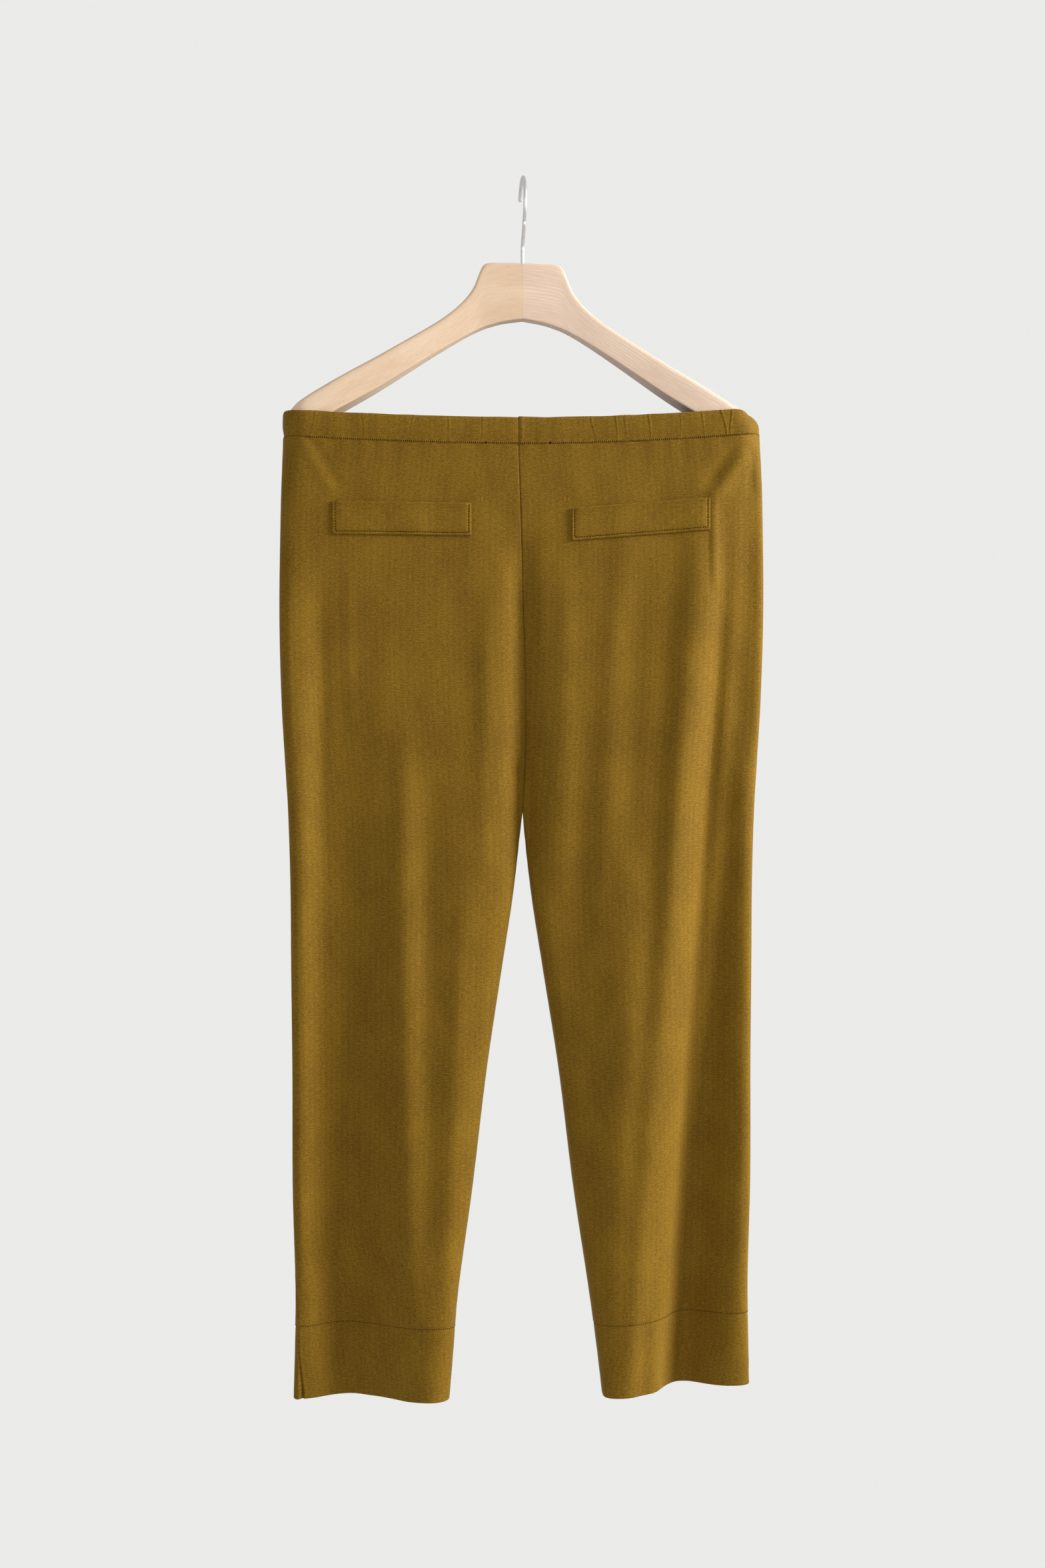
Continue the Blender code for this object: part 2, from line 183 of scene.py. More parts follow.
# Greatest width in metres and area in square metres of each panel's cut that shows.
PANEL_CUTS = {
    "back_left": (0.251, 0.204),
    "back_right": (0.247, 0.209),
    "front_left": (0.253, 0.209),
    "front_right": (0.248, 0.209),
}

# Stitches: distance from one to the next, length and radius of the thread.
Stitch = namedtuple("Stitch", "pitch length radius")
WELT_STITCH = Stitch(2.6, 1.6, 0.54)
HEM_STITCH = Stitch(2.2, 1.05, 0.40)
WAIST_STITCH = Stitch(1.95, 0.75, 0.36)
WAIST_RUCK = Stitch(1.95, 2.0, 0.62)    # small lump of cloth between two stitches
TACK_STITCH = Stitch(0.7, 1.9, 0.55)
STITCH_RINGS = ((-0.5, 0.35), (-0.32, 0.85), (0.0, 1.0), (0.32, 0.85), (0.5, 0.35))
STITCH_SIDES = 6


# ================ small helpers
def ease(t):
    """Soft step from 0 to 1."""
    t = np.clip(t, 0.0, 1.0)
    return t * t * (3 - 2 * t)


def along(rows, column, z, key="z"):
    """Smooth values of one column at the places z, by cubic pieces through the rows."""
    z = np.asarray(z, float)
    at = np.array([getattr(row, key) for row in rows], float)
    value = np.array([getattr(row, column) for row in rows], float)
    slope = np.empty_like(value)
    slope[1:-1] = (value[2:] - value[:-2]) / (at[2:] - at[:-2])
    slope[0] = (value[1] - value[0]) / (at[1] - at[0])
    slope[-1] = (value[-1] - value[-2]) / (at[-1] - at[-2])
    sign = 1 if at[-1] > at[0] else -1
    i = np.clip(np.searchsorted(sign * at, sign * z, side="left") - 1, 0, len(rows) - 2)
    step = at[i + 1] - at[i]
    t = np.clip((z - at[i]) / step, 0.0, 1.0)
    return (value[i] * (1 + 2 * t) * (1 - t) ** 2 + value[i + 1] * t * t * (3 - 2 * t)
            + step * (slope[i] * t * (1 - t) ** 2 - slope[i + 1] * t * t * (1 - t)))


def graded(start, end, keys, finest, coarsest, growth):
    """Places from start up to end, closest together at the keys."""
    places = [start]
    while places[-1] < end:
        near = min(abs(places[-1] - key) for key in keys)
        places.append(places[-1] + min(coarsest, finest + growth * near))
    if end - places[-2] < 0.6 * finest:
        places.pop()
    places[-1] = end
    return np.array(places)


def flattened(angle, squareness):
    """Like the sine of an angle up to 90 degrees, but flat for longer above squareness 2."""
    rest = np.maximum(0.0, 1 - np.abs(np.cos(angle)) ** squareness)
    return np.sign(angle) * rest ** (1 / squareness)


def bell(distance, half_width):
    """Smooth hump: 1 at distance 0, and small beyond twice the half width."""
    return np.exp(-(distance / half_width) ** 2)


def uneven(x, wave, sway, sway_wave, phase=0.0):
    """Waves whose spacing sways, so that they don't look regular."""
    return np.sin(x / wave + sway * np.sin(x / sway_wave) + phase)


def swelling(x, wave):
    """Slow change of strength between 0.2 and 1."""
    return 0.6 + 0.4 * np.sin(x / wave)


def gathers(x):
    """Fine gathers along the waist seam."""
    return uneven(x, 1.15, 1.7, 9.0) * swelling(x, 17.0)


def stacked(*columns):
    """Points from their coordinates, which may be rows, columns or plain numbers."""
    return np.stack(np.broadcast_arrays(*columns), axis=-1)


def unit(v):
    """The vectors in v, scaled to length 1."""
    return v / np.maximum(np.linalg.norm(v, axis=-1, keepdims=True), 1e-9)


def edge_round(distance, half):
    """Half thickness near a rounded edge, at a distance from it along the wall."""
    inside = np.clip(distance / half, 0.0, 1.0)
    return np.maximum(half * np.sqrt(1 - (1 - inside) ** 2), THINNEST)


# ================ form of the cloth
def rise_depth(z):
    """Share of the half depth that the centre seam keeps: 1 at the waist, 0 at the fork."""
    t = np.clip((RISE_TOP - z) / (RISE_TOP - FORK), 0.0, 1.0)
    return np.sqrt(1 - t * t)


def fold_depth(x, z):
    """How far the large folds move both walls towards the front at this place."""
    total = 0.0
    down = (WAIST - z) / (WAIST - HEM)
    for fold in FOLDS:
        ridge_x = fold.x_waist + (fold.x_hem - fold.x_waist) * down
        grown = ease((fold.z_start - z) / (fold.z_start - fold.z_full))
        total = total + fold.depth * grown * bell(x - ridge_x, fold.half_width)
    return total


def waist_lift(x):
    """Height of the waist seam above its left end."""
    out = np.minimum(np.abs(x) / BAND_HALF_WIDTH, 1.0)
    return -BAND_SAG * (1 - out ** 2) + np.where(x > 0, RIGHT_END_LIFT * out ** 1.5, 0.0)


def hem_lift(x):
    """Height of the hem above its level at the left leg."""
    inner, side = SECTIONS[-1].inner, SECTIONS[-1].side
    lift = HEM_LIFT_INNER + (HEM_LIFT_OUTER - HEM_LIFT_INNER) * (x - inner) / (side - inner)
    return np.where(x > 0, lift, 0.0)


def height_at(x, z):
    """Real height of the cloth row that is named by its level z."""
    t = (WAIST - z) / (WAIST - HEM)
    return z + (1 - t) * waist_lift(x) + t * hem_lift(x)


def level_at(x, height):
    """Level of the cloth row that passes through x at a real height."""
    level = height
    for _ in range(3):
        level = height - (height_at(x, level) - level)
    return level


def edge_angle(name, z):
    """Angle at which a panel's side edge lies, in degrees."""
    seam, hem = SIDE_EDGES[name]
    turned = seam * ease((SEAM_TURN_TOP - z) / (SEAM_TURN_TOP - SLIT_TOP))
    return turned + (hem - seam) * ease((SLIT_TOP - z) / (SLIT_TOP - HEM))


def panel_lines(name, z):
    """Points across a panel from its side edge to its inner edge, a line for each level."""
    face = -1 if name.startswith("back") else 1
    half = -1 if name.endswith("left") else 1
    z = z[:, None]
    inner_round = along(SECTIONS, "inner_round", z)
    side_round = along(SECTIONS, "side_round", z)
    half_depth = along(SECTIONS, "half_depth", z)
    centre = along(SECTIONS, "centre", z)
    kept = rise_depth(z)
    clearance = SEAM_HALF_GAP + LEG_HALF_GAP * ease((LEGS_PART - z) / 40)
    inner = np.maximum(0.0, along(SECTIONS, "inner", z)) + clearance
    side = along(SECTIONS, "side", z) - half * centre
    gap_angle = np.degrees(EDGE_HALF_GAP / half_depth)

    turn = np.linspace(0, 1, EDGE_POINTS)[None, :]
    start = edge_angle(name, z) + gap_angle
    angle = np.radians(start + (90 - start) * turn)
    side_out = side - side_round * (1 - np.cos(angle))
    squareness = 2 + SIDE_SQUARENESS * ease((WAIST - z) / WAIST_BLEND)
    side_share = flattened(angle, squareness)
    at_slit = ease(np.abs(edge_angle(name, z)) / SLIT_EDGE_BLEND)
    side_share[:, :1] = np.sin(angle[:, :1]) * (1 - at_slit) + side_share[:, :1] * at_slit
    start = gap_angle * (1 - kept)
    angle = np.radians(start + (90 - start) * turn[:, ::-1])
    inner_out = inner + inner_round * (1 - np.cos(angle))
    squareness = 2 + SIDE_SQUARENESS * ease((LEGS_PART - z) / 120)
    inner_share = kept + (1 - kept) * flattened(angle, squareness)
    inner_share[:, -1:] = kept + (1 - kept) * np.sin(angle[:, -1:])
    run = np.linspace(0, 1, FLAT_POINTS)[None, 1:-1]
    flat_out = side - side_round + (inner + inner_round - side + side_round) * run

    out = np.concatenate((side_out, flat_out, inner_out), axis=1)
    share = np.concatenate((side_share, np.ones_like(flat_out), inner_share), axis=1)
    x = centre + half * out
    return x, fold_depth(x, z) + face * half_depth * share


# ================ creases
# Soft ridges (height above 0) and troughs (below 0). Each row is a line of (x, z) from the
# top down, a half width and a height.
BELOW_HEM = -1330           # a crease that ends here runs on through the hem
CREASE_OVERRUN = 0.1        # share of its length by which a crease goes past its ends
CREASE_FADE = 0.3           # share in which it fades out there
BACK_CREASES = (
    # drag folds from the band's right end to the right welt
    (((204, -257), (176, -294)), 5.5, -1.9),
    (((210, -258), (180, -310)), 8.0, 3.4),
    (((219, -262), (211, -560)), 17.0, -6.0),
    (((219, -246), (217, -300)), 4.5, -1.5),
    (((177, -306), (177, -385)), 2.4, -0.5),
    (((180, -300), (182, -390)), 4.2, 1.5),
    # the long fold of the right leg
    (((170, -330), (168, -401), (154, -592), (141, -783), (114, BELOW_HEM)), 13.0, 5.4),
    (((194, -330), (191, -401), (176, -592), (163, -783), (136, BELOW_HEM)), 9.0, -5.2),
    (((160, -370), (150, -465), (142, -592), (129, -783), (114, -975), (100, -1190)), 12.0, 5.0),
    (((216, -400), (204, -700), (190, -950)), 10.0, 1.6),
    (((92, -360), (80, -560), (66, -780)), 12.0, 1.7),
    (((112, -370), (100, -640)), 11.0, -1.3),
    # fullness below the seat, on both sides of the centre seam
    (((-1, -350), (0, -500), (2, -680)), 12.0, -8.4),
    (((42, -380), (36, -680)), 12.0, 2.2),
    (((-34, -400), (-38, -680)), 10.0, 1.8),
    # left leg
    (((-210, -250), (-180, -306)), 5.5, 0.8),
    (((-201, -252), (-172, -300)), 5.0, -0.7),
    (((-208, -340), (-205, -800), (-205, BELOW_HEM)), 8.0, 1.9),
    (((-190, -400), (-188, -1080)), 7.0, -1.4),
    (((-211, -1040), (-208, BELOW_HEM)), 22.0, 5.5),
    (((-166, -370), (-164, -520)), 6.0, 0.7),
    (((-112, -520), (-114, -780), (-108, -1060)), 10.0, 1.6),
    (((-92, -580), (-90, -980)), 9.0, -1.0),
    (((-60, -700), (-72, -1120)), 9.0, 0.9),
)
FRONT_CREASES = (
    (((208, -250), (150, -330)), 8.0, 1.2),
    (((-206, -252), (-150, -326)), 8.0, 1.1),
    (((176, -400), (150, -760), (120, BELOW_HEM)), 14.0, 3.0),
    (((200, -420), (176, -780), (148, BELOW_HEM)), 10.0, -2.6),
    (((96, -380), (84, -700)), 13.0, -1.2),
    (((3, -350), (4, -680)), 11.0, -4.0),
    (((-40, -400), (-52, -760)), 12.0, 1.6),
    (((-78, -520), (-92, -1100)), 11.0, -1.2),
    (((-118, -430), (-112, -900)), 10.0, 1.3),
    (((-172, -400), (-182, BELOW_HEM)), 12.0, 1.8),
)
CREASES = {"back": BACK_CREASES, "front": FRONT_CREASES}


def crease_height(face, x, z):
    """Outward relief of all the creases of one side of the trousers."""
    total = np.zeros(np.broadcast(x, z).shape)
    for line, half_width, height in CREASES[face]:
        xs, zs = np.array(line, float).T
        lean = math.cos(math.atan((xs[-1] - xs[0]) / (zs[-1] - zs[0])))
        away = (x - np.interp(z, zs[::-1], xs[::-1])) * lean
        t = (zs[0] - z) / (zs[0] - zs[-1])
        fade = (ease((t + CREASE_OVERRUN) / CREASE_FADE)
                * ease((1 + CREASE_OVERRUN - t) / CREASE_FADE))
        total += height * fade * bell(away, half_width)
    return total


def ripple(face, x, z):
    """Slight unevenness of hanging jersey: long, shallow and never quite regular."""
    shift = 0.0 if face == "back" else 2.1
    return (0.35 * np.sin(x / 13.7 + z / 171.0 + shift) * np.sin(z / 97.0 + x / 61.0 + shift)
            + 0.22 * np.sin(x / 7.9 - z / 203.0 + 2 * shift) * np.sin(z / 53.0 + 1.3)
            + 0.10 * np.sin(x / 4.3 + z / 88.0 + shift) * np.sin(z / 31.0 - x / 29.0))


# ================ meshes
def new_piece(name, verts, faces, finish, pattern, node="", sharp=None):
    """Smooth mesh that rides on the model. Points and pattern places are in millimetres.

    node is the solid that the piece stands for, if it stands for one, and sharp is the angle
    in degrees above which an edge isn't smoothed.
    """
    mesh = bpy.data.meshes.new(name)
    mesh.from_pydata((np.reshape(verts, (-1, 3)) * MM).tolist(), [], faces)
    mesh.shade_smooth()
    if sharp:
        mesh.set_sharp_from_angle(angle=math.radians(sharp))
    layer = mesh.attributes.new("pattern", "FLOAT_VECTOR", "POINT")
    layer.data.foreach_set("vector", (np.asarray(pattern) * MM).astype(np.float32).ravel())
    mesh.materials.append(finish)
    piece = bpy.data.objects.new(name, mesh)
    bpy.context.scene.collection.objects.link(piece)
    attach(piece, "root")
    if node:
        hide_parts(node)
    return piece


def grid_normals(middle):
    """Unit normals of a grid of points."""
    return unit(np.cross(np.gradient(middle, axis=1), np.gradient(middle, axis=0)))


def shell(node, middle, half, pattern, outward, finish, ending):
    """Closed thin shell round a grid of middle points, in place of a solid.

    outward is 1 or -1, for the side on which the grid's normals face out.
    Returns the piece, its outer points and its outward normals.
    """
    normal = grid_normals(middle) * outward
    outer = middle + normal * half[..., None]
    inner = middle - normal * half[..., None]
    rows, cols = half.shape
    number = np.arange(rows * cols).reshape(rows, cols)
    quads = np.stack((number[:-1, :-1], number[1:, :-1], number[1:, 1:], number[:-1, 1:]), axis=-1)
    quads = quads.reshape(-1, 4)
    back = rows * cols
    rim = np.concatenate((number[0, :-1], number[:-1, -1], number[-1, :0:-1], number[:0:-1, 0]))
    there = np.roll(rim, -1)
    wall = np.stack((rim, there, there + back, rim + back), axis=-1)
    if outward > 0:
        quads, wall = quads[:, ::-1], wall[:, ::-1]
    faces = np.concatenate((quads, quads[:, ::-1] + back, wall)).tolist()
    verts = np.concatenate((outer, inner))
    places = np.concatenate((pattern, pattern))
    piece = new_piece(f"{node}_{ending}", verts, faces, finish, places, node)
    return piece, outer, normal


def tube_faces(rings, sides, first=0, flipped=False):
    """Faces of a closed tube of rings of points, numbered ring by ring from first on."""
    faces = []
    for j in range(rings - 1):
        p, q = first + j * sides, first + (j + 1) * sides
        for i in range(sides):
            n = (i + 1) % sides
            faces.append((p + i, p + n, q + n, q + i))
    last = first + (rings - 1) * sides
    faces.append(tuple(reversed(range(first, first + sides))))
    faces.append(tuple(range(last, last + sides)))
    return [face[::-1] for face in faces] if flipped else faces


def stitches(name, lines, kind, finish, across_line=False, shift=0.0):
    """Short rounded threads, joined in one piece, along lines of surface points and normals."""
    verts, faces = [], []
    for points, normals in lines:
        steps = np.linalg.norm(np.diff(points, axis=0), axis=1)
        run = np.concatenate(([0.0], np.cumsum(steps)))

        def at(values, place):
            """Values at a distance along the line."""
            return np.array([np.interp(place, run, values[:, i]) for i in range(3)])

        count = int(run[-1] / kind.pitch)
        for k in range(count):
            s = (k + 0.5 + shift) * run[-1] / count
            centre, up = at(points, s), unit(at(normals, s))
            forward = unit(at(points, s + 0.5) - at(points, s - 0.5))
            across = unit(np.cross(up, forward))
            if across_line:
                forward, across = across, -forward
            faces += tube_faces(len(STITCH_RINGS), STITCH_SIDES, len(verts))
            # each thread is thickest in the middle, and its ends dip into the cloth
            for place, size in STITCH_RINGS:
                arch = centre + forward * place * kind.length + up * kind.radius * (size - 0.75)
                for i in range(STITCH_SIDES):
                    turn = 2 * math.pi * i / STITCH_SIDES
                    spoke = across * math.cos(turn) + up * math.sin(turn)
                    verts.append(arch + spoke * kind.radius * size)
    return new_piece(name, verts, faces, finish, verts)


# ================ panels
KEY_LEVELS = (-HEM, -(HEM + HEM_TURN_UP), -WAIST, -SLIT_TOP)
PANEL_ROWS = -graded(-WAIST, -HEM, KEY_LEVELS, 0.35, 5.0, 0.35)


def panel_columns():
    """Shares of the way across a panel, closest at its two edges."""
    return graded(0.0, PANEL_SCALE, (0.0, PANEL_SCALE), 0.7, 2.2, 0.25) / PANEL_SCALE


def fold_relief(face, x, z, level, from_side, from_inner):
    """How far creases and unevenness move a panel forward or back, positive outwards."""
    kept = rise_depth(level)
    relief = crease_height(face, x, z)
    relief = relief + ripple(face, x, z) * ease((WAIST - level) / WAIST_BLEND)
    relief = relief * ease((from_side + EDGE_KEPT) / SIDE_FADE)
    relief = relief * (kept + (1 - kept) * ease((from_inner + EDGE_KEPT) / INNER_FADE))
    over_wood = ease((z - WOOD_REACH) / 6)
    return np.maximum(relief, DEEPEST_OVER_WOOD) * over_wood + relief * (1 - over_wood)


def fine_relief(x, z, level, from_edge):
    """Small outward relief of a panel: its gathers, seam puckers and turned-up hem."""
    below_waist = WAIST - level
    above_hem = level - HEM
    relief = -0.25 * (1 - np.clip(below_waist / 1.0, 0, 1)) ** 2 + np.zeros_like(x)
    # groove of the hem's stitches, and thicker cloth below it
    relief -= 0.35 * bell(above_hem - HEM_TURN_UP, 0.9)
    relief += 0.25 * ease((HEM_TURN_UP - above_hem) / 6)
    # soft tucks of the hem
    tucks = uneven(x, 5.1, 1.9, 21.0) * np.sin(x / 33.0 + 0.7)
    relief += 0.65 * tucks * ease((HEM_TURN_UP + 4 - above_hem) / 12)
    # gathers below the waist seam
    relief += 0.16 * gathers(x) * np.exp(-below_waist / 3.5)
    slow = uneven(x, 3.6, 2.0, 23.0)
    relief += 0.30 * slow * np.exp(-below_waist / 14.0) * ease(below_waist / 2.0)
    # puckers along the seams
    pucker = uneven(z, 3.1, 1.5, 27.0)
    return relief + 0.10 * pucker * np.exp(-from_edge / 4.0) * ease(below_waist / 8.0)


def make_panel(name, finish):
    """One leg panel: jersey with rolled seam edges, a turned-up hem and its creases."""
    face = name.split("_")[0]
    facing = -1 if face == "back" else 1
    outward = 1 if name in ("back_left", "front_right") else -1
    level = PANEL_ROWS[:, None]
    fine_x, fine_y = panel_lines(name, PANEL_ROWS)
    steps = np.hypot(np.diff(fine_x, axis=1), np.diff(fine_y, axis=1))
    run = np.concatenate((np.zeros((len(PANEL_ROWS), 1)), np.cumsum(steps, axis=1)), axis=1)
    length = run[:, -1:]
    start = SEAM_ROLL + CLOTH_HALF
    s = start + (length - 2 * start) * panel_columns()[None, :]
    x, y = (np.stack([np.interp(*row) for row in zip(s, run, fine)]) for fine in (fine_x, fine_y))
    z = height_at(x, level)
    run_x, run_y = np.gradient(x, axis=1), np.gradient(y, axis=1)
    size = np.hypot(run_x, run_y)
    ahead = stacked(run_x / size, run_y / size, 0.0)
    out = outward * stacked(ahead[..., 1], -ahead[..., 0], 0.0)

    half = CLOTH_HALF + (HEM_HALF - CLOTH_HALF) * ease((HEM + HEM_TURN_UP - level) / 2.0)
    half = np.broadcast_to(half, x.shape)
    from_side, from_inner = s - start, length - start - s
    y = y + facing * fold_relief(face, x, z, level, from_side, from_inner)
    relief = fine_relief(x, z, level, np.minimum(from_side, from_inner)) - (half - CLOTH_HALF)
    middle = stacked(x, y, z) + out * relief[..., None]

    def rolled(column, towards, flange, lean=0.0):
        """Columns that roll in from an edge and go on as its allowance, which may lean."""
        added = []
        for degrees in ROLL_DEGREES:
            turn = math.radians(degrees)
            added.append(middle[:, column] + towards * SEAM_ROLL * math.sin(turn)
                         - out[:, column] * SEAM_ROLL * (1 - math.cos(turn)))
        turned_in = added[-1]
        for share in FLANGE_SHARES:
            added.append(turned_in + unit(towards * lean - out[:, column]) * flange * share)
        return np.stack(added, axis=1)

    slit_flange = SLIT_FLANGE_BACK if face == "back" else SLIT_FLANGE_FRONT
    in_slit = (PANEL_ROWS < SLIT_TOP + 2)[:, None]
    side_flange = np.where(in_slit, slit_flange, SEAM_FLANGE)
    lean = SLIT_LEAN * in_slit * (face == "front")
    at_side = rolled(0, -ahead[:, 0], side_flange, lean)[:, ::-1]
    at_inner = rolled(-1, ahead[:, -1], SEAM_FLANGE)
    middle = np.concatenate((at_side, middle, at_inner), axis=1)
    extra = at_side.shape[1]
    half = np.pad(half, ((0, 0), (extra, extra)), mode="edge")
    half = np.minimum(half, edge_round(WAIST - level, CLOTH_HALF))
    half = np.minimum(half, edge_round(level - HEM, HEM_HALF))
    s = np.pad(s, ((0, 0), (extra, extra)), mode="edge")
    pattern = stacked(s, level, 0.0)
    piece, outer, normal = shell(name, middle, half, pattern, -outward, finish, "cloth")
    return piece, outer[:, extra:-extra], normal[:, extra:-extra]


# ================ waistband
# Creases that the elastic draws across the band's back: x at the top, x at the seam, height.
BAND_CREASES = (
    (64, 69, 0.35), (88, 89, 0.4), (96, 99, 0.25), (119, 121, 0.4), (149, 150, 0.25),
    (170, 172, 0.3), (188, 194, 0.6), (198, 197, 0.5), (213, 209, 0.5), (-38, -40, 0.2),
    (-71, -70, 0.25), (-104, -107, 0.2), (-152, -150, 0.25), (-196, -200, 0.3),
)
BAND_CREASE_HALF_WIDTH = 0.6
BAND_STEP = 0.5             # distance between the band's columns at the back
BAND_BEND_POINTS = 41       # columns round each end
BAND_FRONT_POINTS = 200     # and along the front
TACKS = (-35.4, 25.5)       # places of the two dark thread tacks along the waist seam


def band_plan():
    """Fine points of the band's path in plan, from one side of its seam to the other."""
    straight = BAND_HALF_WIDTH - BAND_RADIUS
    bend = np.radians(np.linspace(-90, 90, BAND_BEND_POINTS))
    bend_x, bend_y = straight + BAND_RADIUS * np.cos(bend), BAND_RADIUS * np.sin(bend)
    start, end = BAND_SEAM_X + SEAM_HALF_GAP, BAND_SEAM_X - SEAM_HALF_GAP
    back_right = np.arange(start, straight, BAND_STEP)
    front = np.linspace(straight, -straight, BAND_FRONT_POINTS)[1:-1]
    back_left = np.arange(-straight, end, BAND_STEP)[1:]
    x = np.concatenate((back_right, bend_x, front, -bend_x, back_left, [end]))
    y = np.concatenate((np.full(len(back_right), -BAND_RADIUS), bend_y,
                        np.full(len(front), BAND_RADIUS), -bend_y,
                        np.full(len(back_left) + 1, -BAND_RADIUS)))
    return x, y


def make_waistband(finish):
    """Elastic casing with a folded upper edge, drawn into fine creases at the back."""
    x, y = band_plan()
    height = graded(0.0, BAND_HEIGHT, (0.0, BAND_HEIGHT), 0.3, 1.6, 0.4)[::-1][:, None]
    rolled = ease((x - ROLL_FROM_X) / (BAND_HALF_WIDTH - ROLL_FROM_X))
    angle = np.maximum(0.0, height - ROLL_FROM_HEIGHT) / ROLL_RADIUS
    inwards = ROLL_RADIUS * (1 - np.cos(angle)) * rolled
    lost = ROLL_RADIUS * (angle - np.sin(angle)) * rolled
    away = np.arctan2(y, np.where(x > 0, x - (BAND_HALF_WIDTH - BAND_RADIUS), 0.0))
    z = BAND_BOTTOM + waist_lift(x) + height - lost
    middle = stacked(x - inwards * np.cos(away), y - inwards * np.sin(away), z)

    out = unit(stacked(np.gradient(y), -np.gradient(x), 0.0))
    share = height / BAND_HEIGHT
    relief = 0.45 * np.sin(math.pi * share) * np.ones_like(x)
    relief += 0.14 * gathers(x) * np.exp(-height / 2.5)
    slow = uneven(x, 2.9, 2.2, 19.0, 0.8 * share)
    relief += 0.10 * slow * (0.5 + 0.5 * np.sin(x / 31.0 + 1.0))
    at_back = (y < 0).astype(float)
    for top_x, foot_x, size in BAND_CREASES:
        line = foot_x + (top_x - foot_x) * share
        wander = 0.5 * np.sin(share * 5 + top_x)
        near = bell(x - line - wander, BAND_CREASE_HALF_WIDTH)
        beside = bell(x - line - wander + 1.5, 1.1)
        relief += size * (0.9 * near - 0.35 * beside) * at_back * (0.5 + 0.5 * share)
    # centre back seam and its allowance
    relief -= 0.7 * bell(x - BAND_SEAM_X, 0.8) * at_back
    relief += 0.5 * bell(x - BAND_SEAM_X - 3.2, 2.2) * at_back
    # the ends lie close to the wood
    relief -= 0.9 * ease((np.abs(x) - 200.0) / 22.0)
    middle = middle + out * relief[..., None]
    step_up = 0.9 * ease((x - BAND_SEAM_X) / 0.4) * np.exp(-(x - BAND_SEAM_X) / 9.0)
    middle[..., 2] += 0.22 * uneven(x, 6.3, 1.4, 17.0) * swelling(x, 41.0) * share
    middle[..., 2] += np.where((x > BAND_SEAM_X) & (y < 0), step_up, 0.0) * share

    half = np.broadcast_to(BAND_WALL / 2, relief.shape)
    half = np.minimum(half, edge_round(height, 0.6) + 0.9 * ease(height / 11.0))
    top = BAND_HEIGHT - height
    half = np.minimum(half, edge_round(top, 0.8) + 0.7 * ease(top / 3.0))
    run = np.concatenate(([0.0], np.cumsum(np.hypot(np.diff(x), np.diff(y)))))
    pattern = stacked(run, height, 0.0)
    return shell("waistband", middle, half, pattern, -1, finish, "casing")


# ================ welts
def back_outside(x, z):
    """Depth of the outside of the back panels, where they are not rounded."""
    level = level_at(x, z)
    relief = fold_relief("back", x, z, level, NOT_NEAR_AN_EDGE, NOT_NEAR_AN_EDGE)
    return fold_depth(x, level) - along(SECTIONS, "half_depth", level) - relief - CLOTH_HALF


WELT_HALF = 1.0             # half thickness of the folded strip
WELT_STITCH_INSET = 2.8     # distance of the stitches from its edges
WELT_LIFT = 0.05            # gap between the strip and the panel under it
NOT_NEAR_AN_EDGE = 99.0


def make_welt(welt, finish):
    """Folded strip over the back panel, sewn down at its ends and its lower edge."""
    width = math.hypot(welt.x_outer - welt.x_inner, welt.z_outer - welt.z_inner)
    inset = WELT_STITCH_INSET
    a = graded(0.0, width, (0.0, inset, width - inset, width), 0.3, 2.2, 0.3)[None, :]
    b = graded(0.0, WELT_HEIGHT, (0.0, WELT_HEIGHT - inset, WELT_HEIGHT), 0.3, 1.8, 0.3)[:, None]
    x = welt.x_inner + (welt.x_outer - welt.x_inner) * a / width + 0 * b
    z = welt.z_inner + (welt.z_outer - welt.z_inner) * a / width - b
    from_sewn = np.minimum(np.minimum(a, width - a), WELT_HEIGHT - b)
    half = np.minimum(edge_round(from_sewn, WELT_HALF), edge_round(b, WELT_HALF))
    lift = 0.7 * ease(from_sewn / 9.0) * (1 - 0.3 * ease(b / WELT_HEIGHT))
    lift = lift + 1.0 * np.exp(-b / 3.0) * ease(from_sewn / 6.0)
    groove = 0.6 * bell(from_sewn - inset, 0.6) * ease(b / 1.5)
    y = back_outside(x, z) - WELT_HALF - WELT_LIFT - lift + groove
    middle = stacked(x, y, z)
    pattern = stacked(a, -b, 0.0)
    outward = 1 if welt.name == "welt_left" else -1
    piece, outer, normal = shell(welt.name, middle, half, pattern, outward, finish,
                                 "strip")

    def line(ai, bi):
        """Outer points and normals nearest to the given places."""
        i = [int(np.abs(b[:, 0] - v).argmin()) for v in bi]
        j = [int(np.abs(a[0] - v).argmin()) for v in ai]
        return outer[i, j], normal[i, j]

    down = np.linspace(1.0, WELT_HEIGHT - inset, 40)
    across = np.linspace(inset, width - inset, 120)
    rows = (
        line(np.full(40, inset), down),
        line(across, np.full(120, WELT_HEIGHT - inset)),
        line(np.full(40, width - inset), down[::-1]),
    )
    return piece, rows


